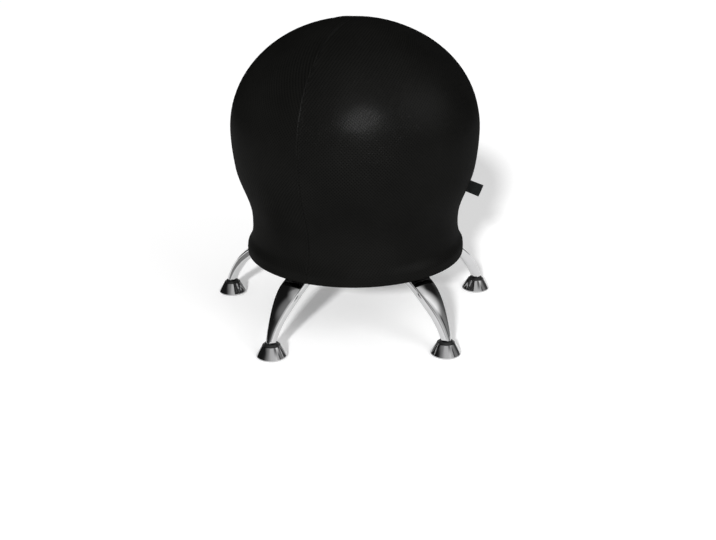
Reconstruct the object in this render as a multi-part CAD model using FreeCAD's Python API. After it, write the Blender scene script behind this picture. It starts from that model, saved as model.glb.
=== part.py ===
# Balance ball chair: an inflated ball in a stretch cover on a moulded base with five
# chromed legs, each on a tilting cone glide. Millimetres, +Z up, floor at Z = 0, origin
# on the chair's centre line. Legs 1 and 2 point forward (-Y), leg 4 points back (+Y).
import FreeCAD, Part
import math
import os

V = FreeCAD.Vector

# Fits
soft_gap = 0.3          # between the soft pieces and what they lie on
fit_gap = 0.1           # between hard pieces that are pushed together
swivel_gap = 0.15       # between a glide's socket and its ball stud

# Seat cover, outer surface
bulge_steps = 8         # points along each rounded quarter outline
seat_r = 225.0          # widest radius
seat_widest_z = 357.0   # height of the widest line
dome_h = 192.8          # from the widest line up to the crown
cheek_in = 5.8          # how far the cover has drawn in at its cheek
cheek_z = 290.0
waist_in = 11.8         # waist inside the rim's skin
waist_z = 192.0
flare_in = 8.5          # still inside the rim's skin just above it
flare_z = 157.0
rim_slope = 0.06        # outward lean of the cover where it meets the rim
cover_t = 1.6           # spacer mesh

# Inflated ball
ball_wall = 2.2
ball_bottom_z = 146.0
ball_fullness = 2.3     # exponent of the lower half's outline, 2 is an ellipse
plug_r = 4.5
plug_l = 14.0
plug_head_r = 9.0
plug_head_h = 2.0

# Moulded base tray
rim_r = 201.5           # outer radius of the rolled rim
rim_roll_r = 11.0       # outer radius of the roll
rim_top_z = 148.0
rim_wall = 3.5
rim_skirt_h = 11.9      # straight wall below the roll
inner_lip_h = 8.0       # lip below the tray floor
floor_z = 136.0         # underside of the tray floor
floor_t = 4.0
tray_hole_r = 16.0
cradle_r = 100.0        # middle radius of the ring that carries the ball
cradle_t = 4.0
rib_t = 3.0
rib_h = 7.0
rib_count = 10
boss_r = 6.5
boss_h = 9.0

# Cover hem
hem_tuck_h = 6.2        # how far the cover turns up inside the rim
elastic_d = 5.0
binding_t = 0.7

# Side tag
tag_out = 33.5
tag_tall = 23.0
tag_t = 1.4
tag_z = 244.3
tag_tilt_deg = 22.6
tag_angle_deg = 90.0    # from the front, towards +X
tag_fold_r = 1.2
tag_root = 40.0         # length drawn inside the cover, then trimmed

# Hub plate
hub_r = 150.0
hub_t = 3.0
hub_hole_r = 20.0
hub_window_r = 14.0
hub_window_pos_r = 95.0

# Legs
leg_count = 5
foot_circle_r = 259.0
leg_bend_r = 148.0      # centre line of the bend
leg_t = 18.0            # thickness, and the round tip's diameter
leg_top_w = 44.0        # width of the flattened top
leg_wall = 1.8
leg_top_corner_r = 5.0
leg_tip_corner_r = 8.2
leg_widening = 0.62     # share of the bend over which the leg widens
leg_tip_z = 27.2
leg_straight_l = 52.1   # from the bend to the inner end
leg_sections = 8
leg_trim_deg = 6.0      # arc drawn past the tip, then cut level
cap_flange_t = 2.5
cap_depth = 10.0

# Screws, washers and inserts
screw_end_gap = 16.0    # inner screws, from the legs' inner ends
screw_bend_gap = 8.1    # outer screws, from the start of the bends
screw_d = 6.0
screw_hole_gap = 0.3
screw_head_r = 5.5
screw_head_h = 3.3
hex_key_r = 2.3
hex_key_depth = 2.0
washer_r = 6.5
washer_t = 1.2
insert_r = 4.4
insert_l = 9.0
screw_clear_end = 1.0   # screw end to the bottom of the boss hole

# Glides
cone_base_r = 27.2
cone_top_r = 15.6
cone_top_z = 22.0
cone_edge_z = 3.4       # top of the cone's straight edge
cone_lift = 1.2         # lower edge above the floor
cone_t = 1.2
cone_lip = 1.6
collar_top_r = 11.4
collar_top_z = 25.8
collar_foot_r = 14.2
neck_hole_r = 6.2
mouth_up = 3.6          # start of the socket's mouth above the ball's centre
mouth_gap = 1.3         # beside the stud's neck at that height
pad_t = 3.0
pad_inset = 1.0
stud_ball_r = 6.0
stud_ball_z = 12.5
stud_neck_r = 3.4
stud_thread_r = 4.0
stud_flange_r = 4.3
stud_flange_t = 1.0
stud_up = 8.0          # threaded length inside the foot insert
foot_insert_h = 11.0

# Sizes that follow
crown_z = seat_widest_z + dome_h
rim_mid_r = rim_r - rim_roll_r
rim_mid_z = rim_top_z - rim_roll_r
rim_end_z = rim_mid_z - rim_skirt_h
floor_top_z = floor_z + floor_t
skin_r = rim_r + soft_gap + cover_t
cheek_r = seat_r - cheek_in
waist_r = skin_r - waist_in
flare_r = skin_r - flare_in
hub_bottom_z = floor_z - hub_t
leg_mid_z = hub_bottom_z - leg_t / 2
bend_z = leg_mid_z - leg_bend_r
tip_angle = math.asin((leg_tip_z - bend_z) / leg_bend_r)
bend_pos_r = foot_circle_r - leg_bend_r * math.cos(tip_angle)
leg_end_r = bend_pos_r - leg_straight_l
screw_inner_r = leg_end_r + screw_end_gap
screw_outer_r = bend_pos_r - screw_bend_gap
leg_bottom_z = hub_bottom_z - leg_t
screw_hole_r = screw_d / 2 + screw_hole_gap
screw_places = [screw_inner_r, screw_outer_r]
step_deg = 360.0 / leg_count
cone_slope = (cone_base_r - cone_top_r) / (cone_top_z - cone_edge_z)
cone_inner_r = cone_base_r - cone_t * math.hypot(1, cone_slope)
cone_neck_r = cone_inner_r - cone_slope * (cone_top_z - cone_t - cone_edge_z)


def leg_angle(number):
    # Turn about Z from +X, so that the front lies midway between legs 1 and 2.
    return -90.0 - step_deg / 2 + step_deg * (number - 1)


def turned(shape, degrees):
    copy = shape.copy()
    copy.rotate(V(0, 0, 0), V(0, 0, 1), degrees)
    return copy


def moved(shape, x, y, z):
    copy = shape.copy()
    copy.translate(V(x, y, z))
    return copy


def line(r0, z0, r1, z1):
    return Part.makeLine(V(r0, 0, z0), V(r1, 0, z1))


def arc(r0, z0, r1, z1, r2, z2):
    return Part.Arc(V(r0, 0, z0), V(r1, 0, z1), V(r2, 0, z2)).toShape()


def spline(points, first_way, last_way):
    curve = Part.BSplineCurve()
    curve.interpolate(
        Points=[V(r, 0, z) for r, z in points],
        InitialTangent=V(first_way[0], 0, first_way[1]),
        FinalTangent=V(last_way[0], 0, last_way[1]),
    )
    return curve.toShape()


def bulge(half_w, half_h, mid_z, fullness=2.0):
    # From the widest point to the axis. A negative half_h curves down, and fullness 2 is an ellipse.
    points = []
    for i in range(bulge_steps):
        t = math.pi / 2 * i / bulge_steps
        points.append((half_w * math.cos(t) ** (2 / fullness), mid_z + half_h * math.sin(t) ** (2 / fullness)))
    points.append((0.0, mid_z + half_h))
    return spline(points, (0, math.copysign(1, half_h)), (-1, 0))


def spun(edges):
    wire = Part.Wire(Part.__sortEdges__(edges))
    return Part.Face(wire).revolve(V(0, 0, 0), V(0, 0, 1), 360)


def polygon_spun(points):
    corners = [V(r, 0, z) for r, z in points]
    return Part.Face(Part.makePolygon(corners + corners[:1])).revolve(V(0, 0, 0), V(0, 0, 1), 360)


def tube_ring(mid_r, mid_z, half):
    return Part.makeTorus(mid_r, half, V(0, 0, mid_z), V(0, 0, 1))


# Seat cover

def cover_side(inset):
    # Outline from the widest line down to the middle of the rim's roll.
    points = [
        (seat_r - inset, seat_widest_z),
        (cheek_r - inset, cheek_z),
        (waist_r - inset, waist_z),
        (flare_r - inset, flare_z),
        (skin_r - inset, rim_mid_z),
    ]
    return spline(points, (0, -1), (rim_slope, -1))


def make_cover():
    wall_mid_r = rim_r - rim_wall / 2
    out_bend = rim_wall / 2 + soft_gap + cover_t
    in_bend = rim_wall / 2 + soft_gap
    bend_z_line = rim_end_z + rim_wall / 2
    tuck_z = bend_z_line + hem_tuck_h
    edges = [
        bulge(seat_r, dome_h, seat_widest_z),
        cover_side(0),
        line(skin_r, rim_mid_z, skin_r, bend_z_line),
        arc(skin_r, bend_z_line, wall_mid_r, bend_z_line - out_bend, wall_mid_r - out_bend, bend_z_line),
        line(wall_mid_r - out_bend, bend_z_line, wall_mid_r - out_bend, tuck_z),
        line(wall_mid_r - out_bend, tuck_z, wall_mid_r - in_bend, tuck_z),
        line(wall_mid_r - in_bend, tuck_z, wall_mid_r - in_bend, bend_z_line),
        arc(wall_mid_r - in_bend, bend_z_line, wall_mid_r, bend_z_line - in_bend,
            wall_mid_r + in_bend, bend_z_line),
        line(wall_mid_r + in_bend, bend_z_line, wall_mid_r + in_bend, rim_mid_z),
        cover_side(cover_t),
        bulge(seat_r - cover_t, dome_h - cover_t, seat_widest_z),
        line(0, crown_z - cover_t, 0, crown_z),
    ]
    return spun(edges)


def make_hem():
    # The hem tunnel lies against the tucked-up edge of the cover.
    half = elastic_d / 2 + soft_gap + binding_t
    edge_r = rim_r - rim_wall - soft_gap - cover_t
    mid_r = edge_r - soft_gap - half
    mid_z = rim_end_z + rim_wall / 2 + hem_tuck_h / 2
    binding = tube_ring(mid_r, mid_z, half).cut(tube_ring(mid_r, mid_z, half - binding_t))
    elastic = tube_ring(mid_r, mid_z, elastic_d / 2)
    return binding, elastic


def make_tag():
    # A folded strip standing out of the side seam, in the plane of that seam.
    flat = Part.makeBox(tag_out + tag_root, tag_t, tag_tall, V(-tag_root, -tag_t / 2, -tag_tall / 2))
    outer_edges = [e for e in flat.Edges if abs(e.CenterOfMass.x - tag_out) < 0.01
                   and abs(e.CenterOfMass.z) > 0.01]
    flat = flat.makeFillet(tag_fold_r, outer_edges)
    flat.rotate(V(0, 0, 0), V(0, 1, 0), tag_tilt_deg)
    flat = moved(flat, cover_radius(tag_z), 0, tag_z)
    flat = turned(flat, tag_angle_deg - 90.0)
    inside = spun([
        bulge(seat_r + fit_gap, dome_h + fit_gap, seat_widest_z),
        cover_side(-fit_gap),
        line(skin_r + fit_gap, rim_mid_z, 0, rim_mid_z),
        line(0, rim_mid_z, 0, crown_z + fit_gap),
    ])
    return flat.cut(inside)


def cover_radius(height):
    # Radius of the cover's side at a height between the waist and the widest line.
    level = Part.makeLine(V(0, 0, height), V(2 * seat_r, 0, height))
    return cover_side(0).distToShape(level)[1][0][0].x


# Inflated ball

def ball_body(inset):
    # Upper half like the cover's dome, lower half fuller, down to a flat-lying bottom.
    half_w = seat_r - cover_t - soft_gap - inset
    up = dome_h - cover_t - soft_gap - inset
    down = seat_widest_z - ball_bottom_z - inset
    edges = [
        bulge(half_w, up, seat_widest_z),
        bulge(half_w, -down, seat_widest_z, ball_fullness),
        line(0, seat_widest_z - down, 0, seat_widest_z + up),
    ]
    return spun(edges)


def make_ball():
    shell = ball_body(0).cut(ball_body(ball_wall))
    sleeve = Part.makeCylinder(plug_r + ball_wall, plug_l, V(0, 0, ball_bottom_z + ball_wall / 2))
    bore = Part.makeCylinder(plug_r, plug_l + 2 * ball_wall, V(0, 0, ball_bottom_z - ball_wall / 2))
    return shell.fuse(sleeve).cut(bore).removeSplitter()


def make_air_plug():
    stem = Part.makeCylinder(plug_r - fit_gap, plug_l, V(0, 0, ball_bottom_z - fit_gap))
    head = Part.makeCylinder(plug_head_r, plug_head_h, V(0, 0, ball_bottom_z - fit_gap - plug_head_h))
    rounded = head.makeFillet(plug_head_h / 3, [head.Edges[2]])
    return stem.fuse(rounded).removeSplitter()


# Moulded base tray

def screw_spots():
    spots = []
    for number in range(1, leg_count + 1):
        turn = math.radians(leg_angle(number))
        for r in screw_places:
            spots.append((r * math.cos(turn), r * math.sin(turn)))
    return spots


def make_tray():
    roll_in = rim_roll_r - rim_wall
    lip_in_r = rim_mid_r - roll_in
    lip_out_r = lip_in_r - rim_wall
    wall_mid_r = rim_r - rim_wall / 2
    wall_bend_z = rim_end_z + rim_wall / 2
    meet_r = rim_mid_r - math.sqrt(rim_roll_r ** 2 - (floor_top_z - rim_mid_z) ** 2)
    edges = [
        line(tray_hole_r, floor_z, lip_out_r, floor_z),
        line(lip_out_r, floor_z, lip_out_r, floor_z - inner_lip_h),
        line(lip_out_r, floor_z - inner_lip_h, lip_in_r, floor_z - inner_lip_h),
        line(lip_in_r, floor_z - inner_lip_h, lip_in_r, rim_mid_z),
        arc(lip_in_r, rim_mid_z, rim_mid_r, rim_mid_z + roll_in, rim_mid_r + roll_in, rim_mid_z),
        line(rim_mid_r + roll_in, rim_mid_z, rim_mid_r + roll_in, wall_bend_z),
        arc(rim_mid_r + roll_in, wall_bend_z, wall_mid_r, rim_end_z, rim_r, wall_bend_z),
        line(rim_r, wall_bend_z, rim_r, rim_mid_z),
        arc(rim_r, rim_mid_z, rim_mid_r, rim_top_z, meet_r, floor_top_z),
        line(meet_r, floor_top_z, tray_hole_r, floor_top_z),
        line(tray_hole_r, floor_top_z, tray_hole_r, floor_z),
    ]
    tray = spun(edges)
    added = []
    ring_h = seat_widest_z - floor_top_z
    ring = Part.makeCylinder(cradle_r + cradle_t / 2, ring_h, V(0, 0, floor_top_z))
    ring = ring.cut(Part.makeCylinder(cradle_r - cradle_t / 2, ring_h, V(0, 0, floor_top_z)))
    added.append(ring.cut(ball_body(-soft_gap)))
    rib_out_r = meet_r + rim_wall / 2
    rib = Part.makeBox(rib_out_r - cradle_r, rib_t, rib_h, V(cradle_r, -rib_t / 2, floor_top_z))
    for i in range(rib_count):
        added.append(turned(rib, leg_angle(1) + (i + 0.5) * 360.0 / rib_count))
    boss = Part.makeCylinder(boss_r, boss_h, V(0, 0, floor_top_z))
    for x, y in screw_spots():
        added.append(moved(boss, x, y, 0))
    tray = tray.fuse(added)
    hole = Part.makeCylinder(insert_r + fit_gap / 2, insert_l + screw_clear_end, V(0, 0, floor_z))
    holes = [moved(hole, x, y, 0) for x, y in screw_spots()]
    return tray.cut(Part.makeCompound(holes)).removeSplitter()


def make_hub_plate():
    plate = Part.makeCylinder(hub_r, hub_t, V(0, 0, hub_bottom_z))
    holes = [Part.makeCylinder(hub_hole_r, hub_t, V(0, 0, hub_bottom_z))]
    screw_hole = Part.makeCylinder(screw_hole_r, hub_t, V(0, 0, hub_bottom_z))
    for x, y in screw_spots():
        holes.append(moved(screw_hole, x, y, 0))
    window = Part.makeCylinder(hub_window_r, hub_t, V(hub_window_pos_r, 0, hub_bottom_z))
    for number in range(1, leg_count + 1):
        holes.append(turned(window, leg_angle(number) + step_deg / 2))
    return plate.cut(Part.makeCompound(holes))


# Screws that hold the legs

def make_leg_screws():
    # The screw comes up from below, through washer, leg and hub plate, into the insert.
    head_z = leg_bottom_z - washer_t - screw_head_h
    end_z = floor_z + insert_l
    shank = Part.makeCylinder(screw_d / 2, end_z - head_z, V(0, 0, head_z))
    head = Part.makeCylinder(screw_head_r, screw_head_h, V(0, 0, head_z))
    head = head.makeFillet(screw_head_h / 2, [e for e in head.Edges if e.CenterOfMass.z < head_z + 0.01])
    key = Part.makeCylinder(hex_key_r, hex_key_depth, V(0, 0, head_z))
    screw = head.fuse(shank).cut(key)
    washer = Part.makeCylinder(washer_r, washer_t, V(0, 0, leg_bottom_z - washer_t))
    washer = washer.cut(Part.makeCylinder(screw_hole_r, washer_t, V(0, 0, leg_bottom_z - washer_t)))
    insert = Part.makeCylinder(insert_r, insert_l, V(0, 0, floor_z))
    insert = insert.cut(Part.makeCylinder(screw_d / 2 + fit_gap / 2, insert_l, V(0, 0, floor_z)))
    groups = []
    for shape in (screw, washer, insert):
        groups.append(Part.makeCompound([moved(shape, x, y, 0) for x, y in screw_spots()]))
    return groups


# Legs, drawn along +X and then turned to their places

def rounded_section(r, z, way_r, way_z, width, thick, corner):
    # Rounded rectangle across the leg: thick lies along (way_r, way_z), width along Y.
    def at(across, out):
        return V(r + way_r * out, across, z + way_z * out)
    hw = width / 2
    ht = thick / 2
    cut = corner * (1 - math.sqrt(0.5))
    edges = []
    corners = [(1, 1), (-1, 1), (-1, -1), (1, -1)]
    for i, (sy, sn) in enumerate(corners):
        along = (sy * (hw - corner), sn * ht)
        beside = (sy * hw, sn * (ht - corner))
        middle = (sy * (hw - cut), sn * (ht - cut))
        start, end = (beside, along) if i % 2 == 0 else (along, beside)
        edges.append(Part.Arc(at(*start), at(*middle), at(*end)).toShape())
    wire_edges = []
    for i in range(4):
        wire_edges.append(edges[i])
        from_point = edges[i].Vertexes[-1].Point
        to_point = edges[(i + 1) % 4].Vertexes[0].Point
        wire_edges.append(Part.makeLine(from_point, to_point))
    return Part.Wire(wire_edges)


def leg_body(inset):
    start = tip_angle - math.radians(leg_trim_deg)
    sections = []
    for i in range(leg_sections):
        a = start + (math.pi / 2 - start) * i / (leg_sections - 1)
        bend_share = max(0.0, (a - tip_angle) / (math.pi / 2 - tip_angle))
        s = min(1.0, bend_share / leg_widening)
        ease = s * s * (3 - 2 * s)
        width = leg_t + (leg_top_w - leg_t) * ease
        corner = leg_tip_corner_r + (leg_top_corner_r - leg_tip_corner_r) * ease
        r = bend_pos_r + leg_bend_r * math.cos(a)
        z = bend_z + leg_bend_r * math.sin(a)
        sections.append(rounded_section(r, z, math.cos(a), math.sin(a), width - 2 * inset,
                                        leg_t - 2 * inset, corner - inset))
    bend = Part.makeLoft(sections, True, False)
    straight = Part.Face(sections[-1]).extrude(V(leg_end_r - bend_pos_r, 0, 0))
    return bend.fuse(straight).removeSplitter()


def below(height):
    size = 4 * foot_circle_r
    return Part.makeBox(size, size, size, V(-size / 2, -size / 2, height - size))


def make_leg():
    leg = leg_body(0).cut(leg_body(leg_wall)).cut(below(leg_tip_z))
    hole = Part.makeCylinder(screw_hole_r, 2 * leg_t, V(0, 0, leg_bottom_z - leg_t / 2))
    return leg.cut(Part.makeCompound([moved(hole, r, 0, 0) for r in screw_places]))


def make_leg_cap():
    flange = rounded_section(leg_end_r, leg_mid_z, 0, 1, leg_top_w, leg_t, leg_top_corner_r)
    inset = leg_wall + fit_gap
    tongue = rounded_section(leg_end_r, leg_mid_z, 0, 1, leg_top_w - 2 * inset, leg_t - 2 * inset,
                             leg_top_corner_r - inset)
    plate = Part.Face(flange).extrude(V(-cap_flange_t, 0, 0))
    return plate.fuse(Part.Face(tongue).extrude(V(cap_depth, 0, 0)))


def make_foot_insert():
    # The part of the tube's inside just above its tip, bored for the stud.
    slab = Part.makeBox(4 * leg_t, 4 * leg_t, foot_insert_h,
                        V(foot_circle_r - 2 * leg_t, -2 * leg_t, leg_tip_z))
    plug = leg_body(leg_wall + fit_gap).common(slab)
    bore = Part.makeCylinder(stud_thread_r + fit_gap / 2, stud_up + screw_clear_end,
                             V(foot_circle_r, 0, leg_tip_z))
    return plug.cut(bore)


# Glides, drawn about the foot's own upright axis

def make_ball_stud():
    ball = Part.makeSphere(stud_ball_r, V(0, 0, stud_ball_z))
    neck = Part.makeCylinder(stud_neck_r, leg_tip_z - stud_ball_z, V(0, 0, stud_ball_z))
    flange = Part.makeCylinder(stud_flange_r, stud_flange_t, V(0, 0, leg_tip_z - stud_flange_t))
    thread = Part.makeCylinder(stud_thread_r, stud_up, V(0, 0, leg_tip_z))
    return ball.fuse([neck, flange, thread]).removeSplitter()


def make_glide_cone():
    return polygon_spun([
        (cone_base_r, cone_lift),
        (cone_base_r, cone_edge_z),
        (cone_top_r, cone_top_z),
        (cone_top_r - cone_lip, cone_top_z),
        (cone_top_r - cone_lip, cone_top_z - cone_t),
        (cone_neck_r, cone_top_z - cone_t),
        (cone_inner_r, cone_edge_z),
        (cone_inner_r, cone_lift),
    ])


def make_glide_socket():
    body = polygon_spun([
        (0, pad_t),
        (cone_inner_r - fit_gap, pad_t),
        (cone_inner_r - fit_gap, cone_edge_z - fit_gap),
        (cone_neck_r - fit_gap, cone_top_z - cone_t - fit_gap),
        (cone_top_r - cone_lip - fit_gap, cone_top_z - cone_t - fit_gap),
        (cone_top_r - cone_lip - fit_gap, cone_top_z + fit_gap),
        (collar_foot_r, cone_top_z + fit_gap),
        (collar_top_r, collar_top_z),
        (0, collar_top_z),
    ])
    cavity = Part.makeSphere(stud_ball_r + swivel_gap, V(0, 0, stud_ball_z))
    mouth_z = stud_ball_z + mouth_up
    mouth = Part.makeCone(stud_neck_r + mouth_gap, neck_hole_r, collar_top_z - mouth_z, V(0, 0, mouth_z))
    return body.cut(cavity).cut(mouth)


def make_glide_pad():
    pad = Part.makeCylinder(cone_inner_r - fit_gap, pad_t)
    sole = [e for e in pad.Edges if e.CenterOfMass.z < 0.01 and len(e.Vertexes) == 1]
    return pad.makeChamfer(min(pad_inset, pad_t / 3), sole)


def main():
    os.makedirs("parts", exist_ok=True)
    parts = {
        "seat_cover": make_cover(),
        "side_tag": make_tag(),
        "ball": make_ball(),
        "air_plug": make_air_plug(),
        "base_tray": make_tray(),
        "hub_plate": make_hub_plate(),
    }
    parts["hem_binding"], parts["hem_elastic"] = make_hem()
    parts["leg_bolts"], parts["leg_washers"], parts["tray_inserts"] = make_leg_screws()
    at_foot = {
        "ball_stud": make_ball_stud(),
        "glide_cone": make_glide_cone(),
        "glide_socket": make_glide_socket(),
        "glide_pad": make_glide_pad(),
    }
    along_leg = {name: moved(shape, foot_circle_r, 0, 0) for name, shape in at_foot.items()}
    along_leg["leg"] = make_leg()
    along_leg["leg_cap"] = make_leg_cap()
    along_leg["foot_insert"] = make_foot_insert()
    for number in range(1, leg_count + 1):
        for name, shape in along_leg.items():
            parts[f"{name}_{number}"] = turned(shape, leg_angle(number))
    for name, shape in sorted(parts.items()):
        solids = shape.Solids
        if not solids or not all(solid.isValid() for solid in solids):
            raise ValueError(f"{name} has no valid solid")
        whole = solids[0] if len(solids) == 1 else Part.makeCompound(solids)
        whole.exportStep(f"parts/{name}.step")
        print(name, len(solids), round(whole.Volume / 1000.0, 2), "cm3")


main()
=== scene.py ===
# Balance ball chair: looks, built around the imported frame. Metres, +Z up, floor at Z = 0.
import bmesh
import bpy
import math
from mathutils import Matrix, Vector


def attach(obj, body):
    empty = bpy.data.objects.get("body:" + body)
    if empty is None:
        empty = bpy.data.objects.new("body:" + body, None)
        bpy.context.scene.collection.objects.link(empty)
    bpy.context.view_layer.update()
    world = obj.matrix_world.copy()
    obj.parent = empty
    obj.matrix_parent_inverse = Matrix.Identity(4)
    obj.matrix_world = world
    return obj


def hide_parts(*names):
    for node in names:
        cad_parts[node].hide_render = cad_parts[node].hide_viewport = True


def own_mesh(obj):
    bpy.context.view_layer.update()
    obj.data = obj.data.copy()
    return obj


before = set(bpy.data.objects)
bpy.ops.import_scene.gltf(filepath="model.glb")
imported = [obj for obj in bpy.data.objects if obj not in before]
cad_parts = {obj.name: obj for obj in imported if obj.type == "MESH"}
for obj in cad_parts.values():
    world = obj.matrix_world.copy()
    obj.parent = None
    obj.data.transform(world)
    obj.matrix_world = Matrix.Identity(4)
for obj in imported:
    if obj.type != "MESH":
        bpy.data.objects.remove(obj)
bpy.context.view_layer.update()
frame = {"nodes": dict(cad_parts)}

# The chair as a whole, the same sizes as the frame's
chair = {
    "legCount": 5,
    "firstLeg": -126.0,       # degrees from +X, the leg at the front left
    "footCircle": 0.259,      # radius on which the glides stand
    "sinkTravel": 0.05,       # how far the seat gives under a sitter
    "crownZ": 0.5498,
    "hemZ": 0.1232,
    "seams": (-26.0, 90.0, 212.0),   # degrees from the front, towards +X
}


def legAngle(number):
    return math.radians(chair["firstLeg"] + 360 / chair["legCount"] * (number - 1))


# Small helpers

def makePiece(name, bm, material, sharp=None):
    mesh = bpy.data.meshes.new(name)
    bm.to_mesh(mesh)
    bm.free()
    mesh.materials.append(material)
    mesh.shade_smooth()
    if sharp:
        mesh.set_sharp_from_angle(angle=math.radians(sharp))
    piece = bpy.data.objects.new(name, mesh)
    bpy.context.scene.collection.objects.link(piece)
    return piece


def lathe(points, steps, closed=True):
    bm = bmesh.new()
    verts = [bm.verts.new((r, 0, z)) for r, z in points]
    pairs = list(zip(verts, verts[1:]))
    if closed:
        pairs.append((verts[-1], verts[0]))
    edges = [bm.edges.new(pair) for pair in pairs]
    bmesh.ops.spin(bm, geom=verts + edges, cent=(0, 0, 0), axis=(0, 0, 1), dvec=(0, 0, 0),
                   angle=math.tau, steps=steps, use_merge=True, use_duplicate=False)
    bmesh.ops.remove_doubles(bm, verts=bm.verts, dist=1e-6)
    bmesh.ops.recalc_face_normals(bm, faces=bm.faces)
    return bm


def place(bm, turn, out=0.0):
    bmesh.ops.translate(bm, verts=bm.verts, vec=(out, 0, 0))
    bmesh.ops.rotate(bm, verts=bm.verts, cent=(0, 0, 0), matrix=Matrix.Rotation(turn, 3, "Z"))


def softenRings(bm, width, sharpFrom=24):
    # rounds every ring edge where the outline turns sharply
    edges = [e for e in bm.edges if e.is_manifold and e.calc_face_angle() > math.radians(sharpFrom)]
    bmesh.ops.bevel(bm, geom=edges, offset=width, segments=3, profile=0.5,
                    affect="EDGES", material=-1, clamp_overlap=True)


# Materials

class Nodes:
    # a short way to lay nodes in one material
    def __init__(self, name):
        self.material = bpy.data.materials.new(name)
        self.material.use_nodes = True
        self.tree = self.material.node_tree
        self.shader = self.tree.nodes["Principled BSDF"]

    def add(self, kind, inputs=None, **settings):
        node = self.tree.nodes.new(kind)
        for key, value in settings.items():
            setattr(node, key, value)
        for key, value in (inputs or {}).items():
            if isinstance(value, bpy.types.NodeSocket):
                self.tree.links.new(value, node.inputs[key])
            else:
                node.inputs[key].default_value = value
        return node

    def math(self, kind, a, b=0.0):
        return self.add("ShaderNodeMath", {0: a, 1: b}, operation=kind).outputs[0]

    def link(self, output, socket):
        self.tree.links.new(output, self.shader.inputs[socket])

    def set(self, **values):
        for key, value in values.items():
            self.shader.inputs[key.replace("_", " ")].default_value = value


def ramp(nodes, factor, stops):
    node = nodes.add("ShaderNodeValToRGB", {"Fac": factor})
    while len(node.color_ramp.elements) < len(stops):
        node.color_ramp.elements.new(0.5)
    for element, (at, color) in zip(node.color_ramp.elements, stops):
        element.position = at
        element.color = (*color, 1)
    return node.outputs["Color"]


def chromeFinish(name, tint):
    # plated steel with a faint haze
    n = Nodes(name)
    where = n.add("ShaderNodeTexCoord").outputs["Object"]
    haze = n.add("ShaderNodeTexNoise", {"Vector": where, "Scale": 55.0, "Detail": 5.0}).outputs["Fac"]
    fine = n.add("ShaderNodeTexNoise", {"Vector": where, "Scale": 900.0, "Detail": 2.0}).outputs["Fac"]
    rough = n.add("ShaderNodeMapRange", {"Value": haze, "From Min": 0.35, "From Max": 0.75,
                                         "To Min": 0.035, "To Max": 0.11}).outputs["Result"]
    n.link(rough, "Roughness")
    n.link(ramp(n, haze, [(0.3, (tint, tint, tint * 1.01)), (0.8, (tint * 0.93,) * 3)]), "Base Color")
    bump = n.add("ShaderNodeBump", {"Height": fine, "Strength": 0.02, "Distance": 0.0004})
    n.link(bump.outputs["Normal"], "Normal")
    n.set(Metallic=1.0)
    return n.material


def plasticFinish(name, color, roughness, grain=1400.0, depth=0.00008):
    # moulded plastic with a fine pitted grain
    n = Nodes(name)
    where = n.add("ShaderNodeTexCoord").outputs["Object"]
    pits = n.add("ShaderNodeTexVoronoi", {"Vector": where, "Scale": grain}).outputs["Distance"]
    cloud = n.add("ShaderNodeTexNoise", {"Vector": where, "Scale": 30.0, "Detail": 4.0}).outputs["Fac"]
    low = tuple(c * 0.8 for c in color)
    high = tuple(min(1.0, c * 1.2 + 0.002) for c in color)
    n.link(ramp(n, cloud, [(0.3, low), (0.7, high)]), "Base Color")
    rough = n.add("ShaderNodeMapRange", {"Value": cloud, "From Min": 0.3, "From Max": 0.7,
                                         "To Min": roughness - 0.06, "To Max": roughness + 0.06})
    n.link(rough.outputs["Result"], "Roughness")
    bump = n.add("ShaderNodeBump", {"Height": pits, "Strength": 0.5, "Distance": depth})
    n.link(bump.outputs["Normal"], "Normal")
    return n.material


def metalFinish(name, color, roughness, streaks=2500.0):
    # bare turned metal with small stains
    n = Nodes(name)
    where = n.add("ShaderNodeTexCoord").outputs["Object"]
    cut = n.add("ShaderNodeTexNoise", {"Vector": where, "Scale": streaks, "Detail": 2.0}).outputs["Fac"]
    stain = n.add("ShaderNodeTexNoise", {"Vector": where, "Scale": 70.0, "Detail": 3.0}).outputs["Fac"]
    n.link(ramp(n, stain, [(0.3, tuple(c * 0.82 for c in color)), (0.75, color)]), "Base Color")
    rough = n.add("ShaderNodeMapRange", {"Value": cut, "From Min": 0.3, "From Max": 0.7,
                                         "To Min": roughness - 0.08, "To Max": roughness + 0.08})
    n.link(rough.outputs["Result"], "Roughness")
    n.set(Metallic=1.0)
    return n.material


coverLook = {
    "holePitchU": 0.0058,     # across, between holes of one row
    "holePitchV": 0.0058,     # along, between rows of like holes
    "loopPitch": 0.0011, "plyPitch": 0.0009,     # of the knit between the holes
    "yarn": (0.0055, 0.0055, 0.0051),
    # colour inside the holes: painted shade
    "hole": (0.0012, 0.0012, 0.0012),
    "roughness": 0.75, "holeRoughness": 0.9,
    "relief": 0.0006, "coatRelief": 0.0003,
    "coat": 0.05, "coatRoughness": 0.3,
}


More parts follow.
